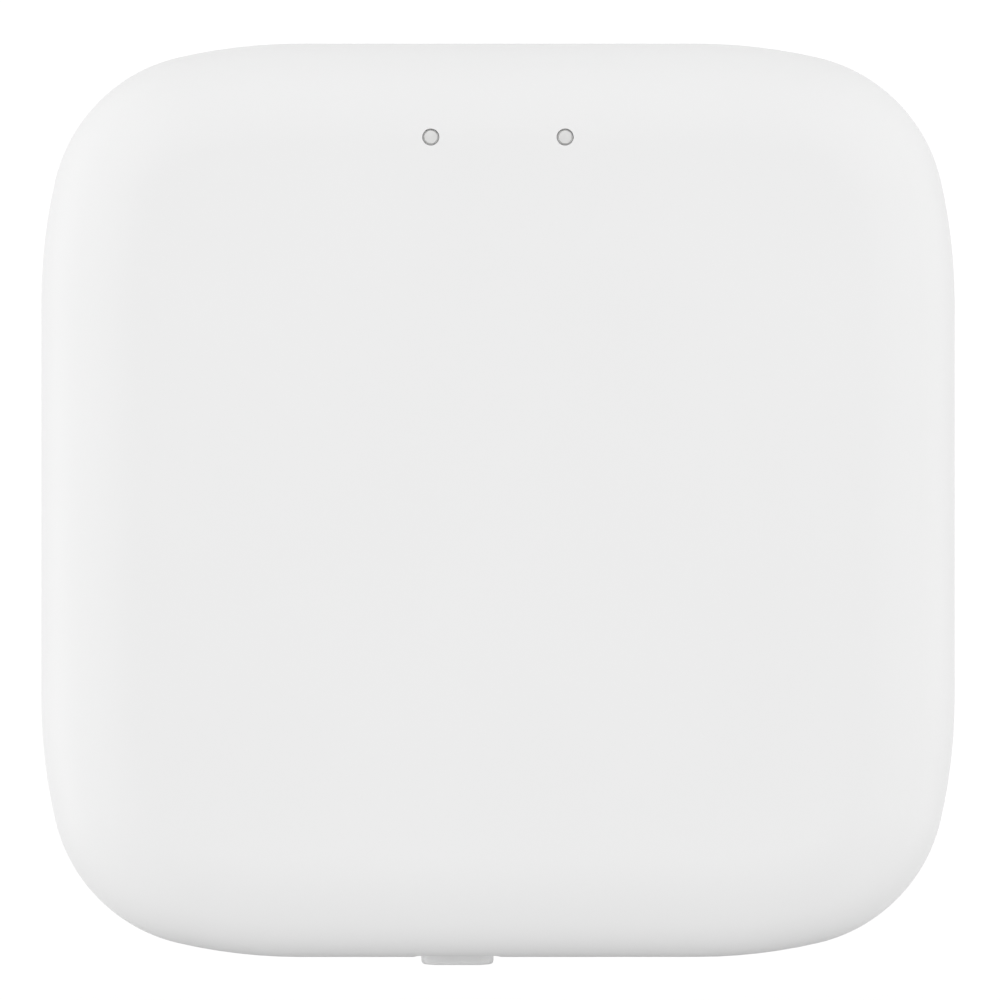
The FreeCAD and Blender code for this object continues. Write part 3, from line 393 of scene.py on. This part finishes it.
# printed polyester film: smooth with a soft sheen
labelFilm = plainResin("matt polyester film", "D9DADB", "D4D5D6", 0.5, 0.002, (0.3, 0.36), 1.57, 8)
finishes = {
    "case_plastic": caseAbs,
    "button_plastic": buttonAbs,
    "foot_rubber": footSilicone,
    "label_film": labelFilm,
    "clear_plastic": frostedAcrylic,
    # zinc plate is bluish and slightly cloudy
    "screw_steel": brushedMetal("zinc-plated steel", "B9BCC0", "9EA2A8", (0.25, 0.4), 2, 0.15),
    "board_laminate": solderMask(),
    # epoxy moulding compound: near black with a dry matt look
    "chip_resin": plainResin("epoxy moulding compound", "222225", "1C1C1F", 0.12, 0.006,
                             (0.45, 0.6), 1.55, 2),
    # nickel plate on pressed sheet: warm and bright, with faint rolling streaks
    "socket_metal": brushedMetal("nickel-plated sheet", "C9C6BF", "B4B1AA", (0.2, 0.32), 0, 0.08),
    # heat-proof nylon for solder reflow: black and slightly glassy
    "socket_plastic": plainResin("black socket nylon", "2A2A2C", "232325", 0.2, 0.006, (0.35, 0.5), 1.53, 3),
    # thin gold on stamped bronze: rich yellow and nearly mirror-like
    "contact_gold": brushedMetal("gold-plated contact", "E8C169", "D9AE55", (0.15, 0.25), 1, 0.05),
    # reflector plastic of a small lamp: warm white and glossy
    "lamp_body": plainResin("white lamp package", "F1EFE4", "E9E6D6", 0.1, 0.002, (0.25, 0.35), 1.5, 0.5),
    # deep-drawn aluminium: cool pale grey, streaked along the draw
    "can_metal": brushedMetal("drawn aluminium can", "D2D4D7", "BFC1C5", (0.22, 0.35), 2, 0.1),
    # fired glass over a resistor: black with a wet shine
    "resistor_ceramic": plainResin("glazed chip resistor", "26262A", "1D1D20", 0.1, 0.003,
                                   (0.25, 0.4), 1.55, 0.8),
    # sintered capacitor ceramic: tan and eggshell smooth
    "capacitor_ceramic": plainResin("tan chip ceramic", "B0946F", "A1865F", 0.1, 0.004,
                                    (0.35, 0.5), 1.6, 0.8),
    # pressed iron powder: dark grey and sandy
    "ferrite": plainResin("pressed ferrite", "4A4A4D", "3C3C40", 0.15, 0.02, (0.55, 0.7), 1.6, 1.5),
}
print("materials made")

# case

shellCuts = {  # millimetres
    "mouthRound": 0.25,
    "smallRound": 0.12,
    "scoopSide": 0.8,
    "scoopDepth": 0.12,
    "scoopTop": 19.5,
    # the finger groove's side as shares of its width and depth, from outside in
    "scoopSlope": ((1.6, -1.0), (1.0, 0.0), (0.86, 0.22), (0.7, 0.55), (0.5, 0.82), (0.3, 0.95), (0.07, 1.0)),
    "buttonGap": 0.2,
    "buttonRound": 1.4,
    "buttonLead": {"wide": 0.12, "start": 0.03, "end": 0.17},
    "through": 0.5,
    "windowWide": 1.7,
    "windowRound": 0.03,
    "jackHole": {"wide": 12.4, "tall": 9.4, "round": 0.5, "up": 5.1},
    "powerRecess": {"wide": 11.0, "tall": 7.4, "round": 2.0, "deep": 0.9},
    "powerHole": {"wide": 8.1, "tall": 3.2, "round": 0.3},
    "footWide": 9.2,
    "footDeep": 0.7,
    "labelGap": 0.2,
    "labelRound": 2.0,
    "labelEdge": 0.05,
    "vent": {"wide": 1.6, "deep": 9.0, "round": 0.75, "pitch": 4.4, "y": 18.0, "count": 9, "mouth": 0.25},
}

buttonShape = {  # millimetres
    "wide": 7.3,
    "tall": 3.0,
    "round": 1.4,
    "edge": 0.35,
    "crown": 0.2,
    "flangeFront": 43.9,
    "flangeBack": 43.1,
    "stem": 2.0,
    "smallEdge": 0.1,
    "stemEdge": 0.05,
    "stemRoot": 0.3,  # how far the stem runs into the cap
    "faceStep": 0.2,  # distance between the rings across the crowned face
}

buttonMiddle = middleOf("reset_button")
powerMiddle = middleOf("usb_shell")
jackMiddle = middleOf("ethernet_shield")
jackHole = (jackMiddle.x, boxOf("ethernet_shield")[0].z + shellCuts["jackHole"]["up"])
windowPlace = Vector((middleOf("status_led_right").x, middleOf("light_guide").y, 0))
windowPlaces = [(-windowPlace.x, windowPlace.y), (windowPlace.x, windowPlace.y)]

# what stands on the inside of both shells: screw bosses, the board's standoffs and the light guide's ribs

bossShape = {  # millimetres
    "frontWide": 6.0,
    "frontLow": 8.3,
    "frontPilot": 2.7,
    "pilotTop": 16.6,
    "backWide": 7.6,
    "seatWide": 5.4,
    "seatTop": 5.0,
    "holeWide": 3.0,
    "standoffWide": 5.2,
    "standoffPilot": 2.1,
    "pilotLow": 1.8,
    "screwHead": 3.6,
    "root": 0.4,
    "edge": 0.15,
    "sunk": 0.4,  # how far a boss runs into the wall it stands on
}
ribShape = {"wide": 18.1, "deep": 5.0, "thick": 1.0, "low": 18.4, "round": 0.3}  # millimetres
bossPlace = middleOf("foot_window_side_right")
boardScrew = boxOf("board_screws")[1] - Vector((1, 1, 0)) * bossShape["screwHead"] / 2
boardBottom = boxOf("main_board")[0].z


def fourPlaces(place):
    return [(signX * place.x, signY * place.y) for signX in (1, -1) for signY in (1, -1)]


def edgeRings(shrink):
    # the front's rounded edge, from the vertical wall to the flat face, moved inwards by shrink
    shape = caseShape
    turn = shape["edgeTurn"]
    lean = math.radians(turn)
    wide = shape["faceEdge"] * math.sin(lean) + shape["wallEdge"] * (1 - math.sin(lean))
    tall = shape["faceEdge"] * (1 - math.cos(lean)) + shape["wallEdge"] * math.cos(lean)
    wallCentre = (-shape["wallEdge"], shape["top"] - tall)
    faceCentre = (-wide, shape["top"] - shape["faceEdge"])
    rings = arcRings(wallCentre, shape["wallEdge"] - shrink, 90, turn, 14)
    return rings + arcRings(faceCentre, shape["faceEdge"] - shrink, turn, 0, 10)[1:]


def makeFrontShell():
    shape = caseShape
    groove = shape["groove"]
    wall = shape["wall"]
    inside = edgeRings(wall)[::-1]
    lip = [
        (-wall, shape["tongueEnd"]),
        (-wall + shape["tongue"], shape["tongueEnd"]),
        (-wall + shape["tongue"], shape["parting"]),
    ]
    seam = arcRings((-groove, shape["parting"] + groove), groove, 0, 90, 4, up=-1)
    return ringSolid("frontCover", caseOutline(), inside + lip + seam + edgeRings(0), upright())


def makeBackShell():
    shape = caseShape
    groove = shape["groove"]
    wall = shape["wall"]
    edge = shape["backEdge"]
    centre = (-edge, shape["bottom"] + edge)
    rebate = -wall + shape["tongue"] + shape["tongueGap"]
    rebateEnd = shape["tongueEnd"] - shape["tongueGap"]
    inside = arcRings(centre, edge - wall, 0, 90, 8, up=-1)
    lip = [(-wall, rebateEnd), (rebate, rebateEnd), (rebate, shape["parting"])]
    seam = arcRings((-groove, shape["parting"] - groove), groove, 0, 90, 4)
    outside = arcRings(centre, edge, 90, 0, 14, up=-1)
    return ringSolid("backCover", caseOutline(), inside + lip + seam + outside, upright())


def wallMouth(name, wide, tall, radius, place, inner):
    rings = flare(shellCuts["mouthRound"], caseShape["halfDeep"], inner)
    return ringSolid(name, roundOutline(wide, tall, radius), rings, place)


def wallCutters():  # the same openings go through both shells
    cuts = shellCuts
    deep = caseShape["halfDeep"]
    inner = deep - caseShape["wall"] - cuts["through"]
    button = fromWall(buttonMiddle.x, buttonMiddle.z)
    wide, tall = buttonShape["wide"], buttonShape["tall"]
    side, depth = cuts["scoopSide"], cuts["scoopDepth"]
    low = buttonMiddle.z - tall / 2
    high = cuts["scoopTop"] - side
    slope = [(share * side, deep - depth * fall) for share, fall in cuts["scoopSlope"]]
    yield ringSolid("scoop", roundOutline(wide, high - low, cuts["buttonRound"]), slope,
                    fromWall(buttonMiddle.x, (low + high) / 2))
    gap = cuts["buttonGap"]
    lead = cuts["buttonLead"]
    rings = [(lead["wide"], deep + past), (lead["wide"], deep - depth - lead["start"]),
             (0, deep - depth - lead["end"]), (0, inner)]
    yield ringSolid("buttonHole", roundOutline(wide + 2 * gap, tall + 2 * gap, cuts["buttonRound"] + gap),
                    rings, button)
    jack = cuts["jackHole"]
    yield wallMouth("jackHole", jack["wide"], jack["tall"], jack["round"], fromWall(*jackHole), inner)
    recess = cuts["powerRecess"]
    power = fromWall(powerMiddle.x, powerMiddle.z)
    yield wallMouth("powerRecess", recess["wide"], recess["tall"], recess["round"], power,
                    deep - recess["deep"])
    hole = cuts["powerHole"]
    yield ringSolid("powerHole", roundOutline(hole["wide"], hole["tall"], hole["round"]),
                    [(0, deep + past), (0, inner)], power)


def underMouth(name, outline, deep, rounding, x=0, y=0):
    # a cut up into the underside, its mouth rounded
    bottom = caseShape["bottom"]
    rings = [(offset, -depth) for offset, depth in flare(rounding, -bottom, -bottom - deep, 3)]
    return ringSolid(name, outline, rings, upright(x, y))


def undersideCutters():
    cuts = shellCuts
    recess = underMouth("footRecess", circleOutline(cuts["footWide"], 64), cuts["footDeep"],
                        cuts["smallRound"])
    yield repeat(recess, fourPlaces(bossPlace))
    seat = ringSolid("screwSeat", circleOutline(bossShape["seatWide"]), [(0, 0), (0, bossShape["seatTop"])],
                     upright())
    yield repeat(seat, fourPlaces(bossPlace))
    label = middleOf("rating_label")
    low, high = boxOf("rating_label")
    gap = cuts["labelGap"]
    outline = roundOutline(high.x - low.x + 2 * gap, high.y - low.y + 2 * gap, cuts["labelRound"])
    yield underMouth("labelSeat", outline, high.z - low.z, cuts["labelEdge"], label.x, label.y)
    vent = cuts["vent"]
    outline = roundOutline(vent["wide"], vent["deep"], vent["round"], 6)
    slot = underMouth("vent", outline, caseShape["wall"] + cuts["through"], vent["mouth"])
    first = -(vent["count"] - 1) / 2
    yield repeat(slot, [((first + step) * vent["pitch"], vent["y"]) for step in range(vent["count"])])


def windowCutter():
    cuts = shellCuts
    top = caseShape["top"]
    rings = flare(cuts["windowRound"], top, top - 2 * caseShape["wall"], 3)
    return repeat(ringSolid("window", circleOutline(cuts["windowWide"], 48), rings, upright()), windowPlaces)


def bosses(name, wide, base, tip, place):
    # round posts from base to tip, with a soft root and a small bevel at the tip
    shape = bossShape
    up = 1 if tip > base else -1
    root = shape["root"]
    rings = [(root, base - up * shape["sunk"]), (root, base), (root * 0.3, base + up * root * 0.3),
             (0, base + up * root), (0, tip - up * shape["edge"]), (-shape["edge"], tip)]
    return repeat(ringSolid(name, circleOutline(wide), rings, upright()), fourPlaces(place))


def pits(name, wide, low, high, place):  # straight round holes in the bosses
    return repeat(ringSolid(name, circleOutline(wide), [(0, low), (0, high)], upright()), fourPlaces(place))


def makeRibs():  # a low frame on the ceiling that locates the light guide
    shape = ribShape
    top = caseShape["top"] - caseShape["wall"] + bossShape["sunk"]
    edge = bossShape["edge"]
    where = upright(0, windowPlace.y)
    wide, deep, both = shape["wide"], shape["deep"], 2 * shape["thick"]
    outer = roundOutline(wide, deep, shape["round"])
    ribs = ringSolid("ribs", outer, [(-edge, shape["low"]), (0, shape["low"] + edge), (0, top)], where)
    inner = roundOutline(wide - both, deep - both, shape["round"])
    hollow = ringSolid("ribsInside", inner, [(0, shape["low"] - past), (0, top + past)], where)
    combine(ribs, hollow, "DIFFERENCE")
    return ribs


frontShell = makeFrontShell()
backShell = makeBackShell()
top = caseShape["top"]
ceiling = top - caseShape["wall"]
floorTop = caseShape["bottom"] + caseShape["wall"]
combine(frontShell, bosses("frontBosses", bossShape["frontWide"], ceiling, bossShape["frontLow"], bossPlace),
        "UNION")
combine(frontShell, makeRibs(), "UNION")
combine(frontShell, pits("frontPilots", bossShape["frontPilot"], 0, bossShape["pilotTop"], bossPlace),
        "DIFFERENCE")
combine(backShell, bosses("backBosses", bossShape["backWide"], floorTop, caseShape["parting"], bossPlace),
        "UNION")
combine(backShell, bosses("standoffs", bossShape["standoffWide"], floorTop, boardBottom, boardScrew), "UNION")
combine(backShell, pits("screwHoles", bossShape["holeWide"], bossShape["seatTop"] - past, top, bossPlace),
        "DIFFERENCE")
combine(backShell, pits("standoffPilots", bossShape["standoffPilot"], bossShape["pilotLow"], top, boardScrew),
        "DIFFERENCE")
for shell in (frontShell, backShell):
    for cutter in wallCutters():
        combine(shell, cutter, "DIFFERENCE")
combine(frontShell, windowCutter(), "DIFFERENCE")
for cutter in undersideCutters():
    combine(backShell, cutter, "DIFFERENCE")
finish(frontShell)
finish(backShell)
hand(frontShell, "case", "case_plastic", caseAbs, "front_cover")
hand(backShell, "case", "case_plastic", caseAbs, "back_cover")
print("case made")

# button


def makeButton():
    shape = buttonShape
    low, high = boxOf("reset_button")
    edge = shape["edge"]
    side = -low.y - shape["crown"]
    wide, tall = shape["wide"], shape["tall"]
    flangeBack = shape["flangeBack"]

    def crowned(u, v, depth):  # the outer face is a little fuller in the middle
        if depth > side - edge:
            depth += shape["crown"] * (1 - (2 * u / wide) ** 2)
        return buttonMiddle.x + u, -depth, buttonMiddle.z + v

    rounding = arcRings((-edge, side - edge), edge, 90, 0, 6)
    face = [(-edge - step * shape["faceStep"], side) for step in (1, 2, 3, 4)]
    cap = ringSolid("resetButton", roundOutline(wide, tall, shape["round"], 10),
                    [(0, flangeBack)] + rounding + face, crowned)
    middle = fromWall(buttonMiddle.x, buttonMiddle.z)
    small = shape["smallEdge"]
    flange = ringSolid("buttonFlange", roundOutline(high.x - low.x, tall, edge),
                       [(-small, flangeBack), (0, flangeBack + small), (0, shape["flangeFront"])], middle)
    tip = shape["stemEdge"]
    stem = ringSolid("buttonStem", circleOutline(shape["stem"]),
                     [(-tip, -high.y), (0, -high.y + tip), (0, flangeBack + shape["stemRoot"])], middle)
    combine(cap, flange, "UNION")
    combine(cap, stem, "UNION")
    finish(cap, 35)
    return cap


hand(makeButton(), "button", "button_plastic", buttonAbs, "reset_button")
print("button made")

# indicator light guide

guideShape = {  # millimetres
    "tip": 1.3,
    "collar": 1.64,
    "collarDrop": 0.5,
    "collarEdge": 0.05,
    "leg": 2.2,
    "legEdge": 0.1,
    "bridgeDeep": 2.6,
    "bridgeTall": 1.2,
    "bridgeRound": 0.6,
    "bridgeEdge": 0.15,
    "bridgeDrop": 0.5,
    "shoulder": (-0.3, 0.2),  # where the leg narrows to the collar, from the bridge's top
    "dome": 0.03,
}


def makeLightGuide():
    shape = guideShape
    low, high = boxOf("light_guide")
    bridgeTop = caseShape["top"] - caseShape["wall"] - shape["bridgeDrop"]
    bridgeLow = bridgeTop - shape["bridgeTall"]
    edge = shape["bridgeEdge"]
    bridge = ringSolid("lightGuide", roundOutline(high.x - low.x, shape["bridgeDeep"], shape["bridgeRound"]),
                       [(-edge, bridgeLow), (0, bridgeLow + edge), (0, bridgeTop - edge), (-edge, bridgeTop)],
                       upright(0, windowPlace.y))
    tip = shape["tip"]
    collar = (shape["collar"] - tip) / 2
    leg = (shape["leg"] - tip) / 2
    collarTop = high.z - shape["collarDrop"]
    domeLow = high.z - shape["dome"]
    rings = [(leg - shape["legEdge"], low.z), (leg, low.z + shape["legEdge"]),
             (leg, bridgeTop + shape["shoulder"][0]), (collar, bridgeTop + shape["shoulder"][1]),
             (collar, collarTop - shape["collarEdge"]), (collar - shape["collarEdge"], collarTop),
             (0, collarTop)]
    rings += [(0, domeLow - 0.02), (-0.02, domeLow), (-0.25, high.z - shape["dome"] * 0.4), (-0.5, high.z)]
    posts = repeat(ringSolid("posts", circleOutline(tip, 48), rings, upright()), windowPlaces)
    combine(bridge, posts, "UNION")
    finish(bridge, 35)
    return bridge


hand(makeLightGuide(), "case", "clear_plastic", frostedAcrylic, "light_guide")
print("light guide made")

# feet and label

footShape = {"edge": 0.4, "topEdge": 0.1, "ringWide": 5.6, "ringDeep": 0.25}  # millimetres
footNames = {
    "foot_window_side_left": "footWindowSideLeft",
    "foot_window_side_right": "footWindowSideRight",
    "foot_socket_side_left": "footSocketSideLeft",
    "foot_socket_side_right": "footSocketSideRight",
}


def makeFoot():  # one foot about the upright axis, with a shallow ring pressed into its sole
    shape = footShape
    low, high = boxOf("foot_window_side_right")
    wide = high.x - low.x
    edge, deep = shape["edge"], shape["ringDeep"]
    hollow = (shape["ringWide"] - wide) / 2
    rings = [(-shape["topEdge"], high.z), (0, high.z - shape["topEdge"])]
    rings += arcRings((-edge, low.z + edge), edge, 90, 0, 6, up=-1)
    # the ring's rounded lip, wall and floor
    rings += [(hollow + 0.35, low.z), (hollow + 0.1, low.z + 0.05), (hollow, low.z + deep * 0.6),
              (hollow - 0.25, low.z + deep)]
    foot = ringSolid("foot", circleOutline(wide, 64), rings, upright())
    finish(foot, 40)
    return foot


labelShape = {"round": 1.9, "edge": 0.04}  # millimetres


def makeLabel():
    edge = labelShape["edge"]
    low, high = boxOf("rating_label")
    middle = (low + high) / 2
    outline = roundOutline(high.x - low.x, high.y - low.y, labelShape["round"])
    label = ringSolid("ratingLabel", outline, [(0, high.z), (0, low.z + edge), (-edge, low.z)],
                      upright(middle.x, middle.y))
    finish(label)
    return label


foot = makeFoot()
for node, name in footNames.items():
    middle = middleOf(node)
    hand(copyTo(foot, name, middle.x, middle.y), "case", "foot_rubber", footSilicone, node)
bpy.data.objects.remove(foot)
hand(makeLabel(), "case", "label_film", labelFilm, "rating_label")
print("underside made")

# sockets, switch and larger board parts: copies of the CAD pieces, merged, with their edges softened

softened = {  # the piece's name, how far its edges are rounded in millimetres, and its material slot
    "ethernet_shield": ("ethernetShield", 0.07, "socket_metal"),
    "ethernet_housing": ("ethernetHousing", 0.12, "socket_plastic"),
    "usb_shell": ("usbShell", 0.12, "socket_metal"),
    "usb_tongue": ("usbTongue", 0.06, "socket_plastic"),
    "switch_body": ("switchBody", 0.04, "socket_plastic"),
    "switch_frame": ("switchFrame", 0.05, "socket_metal"),
    "switch_plunger": ("switchPlunger", 0.08, "socket_plastic"),
    "power_inductor": ("powerInductor", 0.15, "ferrite"),
    "radio_shield": ("radioShield", 0.08, "can_metal"),
    "bulk_capacitors": ("bulkCapacitors", 0.2, "can_metal"),
}


def softenedCopy(node, name, width):
    deselectAll()
    source = frame["nodes"][node]
    source.select_set(True)
    bpy.context.view_layer.objects.active = source
    bpy.ops.object.duplicate()
    piece = bpy.context.object
    piece.name = name
    for key in list(piece.keys()):  # the frame's own marks stay on the CAD node only
        del piece[key]
    piece.parent = None
    bpy.ops.object.mode_set(mode="EDIT")
    bpy.ops.mesh.select_all(action="SELECT")
    bpy.ops.mesh.remove_doubles(threshold=0.001 * mm)
    bpy.ops.mesh.dissolve_limited(angle_limit=math.radians(0.5))
    bpy.ops.object.mode_set(mode="OBJECT")
    bevel = piece.modifiers.new("edges", "BEVEL")
    bevel.width = width * mm
    bevel.segments = 2
    bevel.limit_method = "ANGLE"
    bevel.angle_limit = math.radians(40)
    applyModifier(piece, bevel)
    finish(piece, 35)
    return piece


for node, (name, width, slot) in softened.items():
    body = "plunger" if node == "switch_plunger" else "case"
    hand(softenedCopy(node, name, width), body, slot, finishes[slot], node)
print("sockets made")

# pieces that keep their CAD shape

for name, piece in frame["nodes"].items():
    slot = next(part["material_slot"] for part in frame["record"]["subparts"] if part["node"] == name)
    for place in piece.material_slots:
        place.material = finishes[slot]
print("inner pieces finished")

# floor, light and camera

studio = {
    "floorSize": 6.0,
    "lens": 1000.0,
    "sensor": 36.0,
    "viewWide": 100.72,  # millimetres across the picture at the case's widest level
    "shiftRight": 0.2,
    "shiftUp": 0.03,
    "widestLevel": 16.1,
    "ambient": 0.41,
    "flag": ((0.0, -0.0625, 0.0005), (0.09, 0.026)),  # place and size in metres
    "lights": {  # place and size in metres, power in watts
        "softboxLeft": ((-1.2, -0.15, 0.09), (1.0, 0.18), 3.4),
        "softboxRight": ((1.2, -0.15, 0.09), (1.0, 0.18), 2.45),
        "softboxTop": ((0.0, 0.85, 1.5), (1.2, 1.0), 8.8),
        "overhead": ((0.0, 0.0, 1.6), (2.4, 2.4), 14.2),
    },
}


def makeFloor():
    deselectAll()
    bpy.ops.mesh.primitive_plane_add(size=studio["floorSize"])
    floor = bpy.context.object
    floor.name = "studioFloor"
    # backlit paper: it glows evenly, so no shadow shows on it
    material, tree, shader, spots = newMaterial("pale studio paper", Roughness=0.9)
    tree.links.new(driftingColour(tree, spots, 400, "343434", "303030"), shader.inputs["Base Color"])
    shader.inputs["Emission Color"].default_value = linear("FFFFFF")
    shader.inputs["Emission Strength"].default_value = 1.0
    floor.data.materials.append(material)


def makeLight(name, place, size, power):
    deselectAll()
    bpy.ops.object.light_add(type="AREA", location=place)
    light = bpy.context.object
    light.name = name
    light.data.shape = "RECTANGLE"
    light.data.size = size[0]
    light.data.size_y = size[1]
    light.data.energy = power
    light.rotation_euler = (-Vector(place)).to_track_quat("-Z", "Y").to_euler()
    light.visible_camera = False


def makeFlag():
    # a black card beside the sockets' wall that keeps the floor's glow off it; the camera doesn't see it
    place, size = studio["flag"]
    deselectAll()
    bpy.ops.mesh.primitive_plane_add(size=1, location=place)
    flag = bpy.context.object
    flag.name = "studioFlag"
    flag.scale = (*size, 1)
    bpy.ops.object.transform_apply(location=True, rotation=False, scale=True)
    material, tree, shader, spots = newMaterial("black card", Specular_IOR_Level=0.0)
    tree.links.new(driftingColour(tree, spots, 5, "040404", "060606"), shader.inputs["Base Color"])
    flag.data.materials.append(material)
    flag.visible_camera = False


def makeCamera():
    deselectAll()
    distance = studio["viewWide"] * studio["lens"] / studio["sensor"]
    height = (distance + studio["widestLevel"]) * mm
    place = (studio["shiftRight"] * mm, studio["shiftUp"] * mm, height)
    bpy.ops.object.camera_add(location=place, rotation=(0, 0, 0))
    camera = bpy.context.object
    camera.data.lens = studio["lens"]
    camera.data.sensor_width = studio["sensor"]
    bpy.context.scene.camera = camera


def makeWorld():  # even light from all round
    world = bpy.data.worlds.new("studio")
    bpy.context.scene.world = world
    world.use_nodes = True
    background = world.node_tree.nodes["Background"]
    background.inputs["Color"].default_value = linear("F4F4F4")
    background.inputs["Strength"].default_value = studio["ambient"]


makeFloor()
makeFlag()
for name, (place, size, power) in studio["lights"].items():
    makeLight(name, place, size, power)
makeCamera()
makeWorld()
bpy.context.scene.view_settings.view_transform = "Standard"
print("studio made")
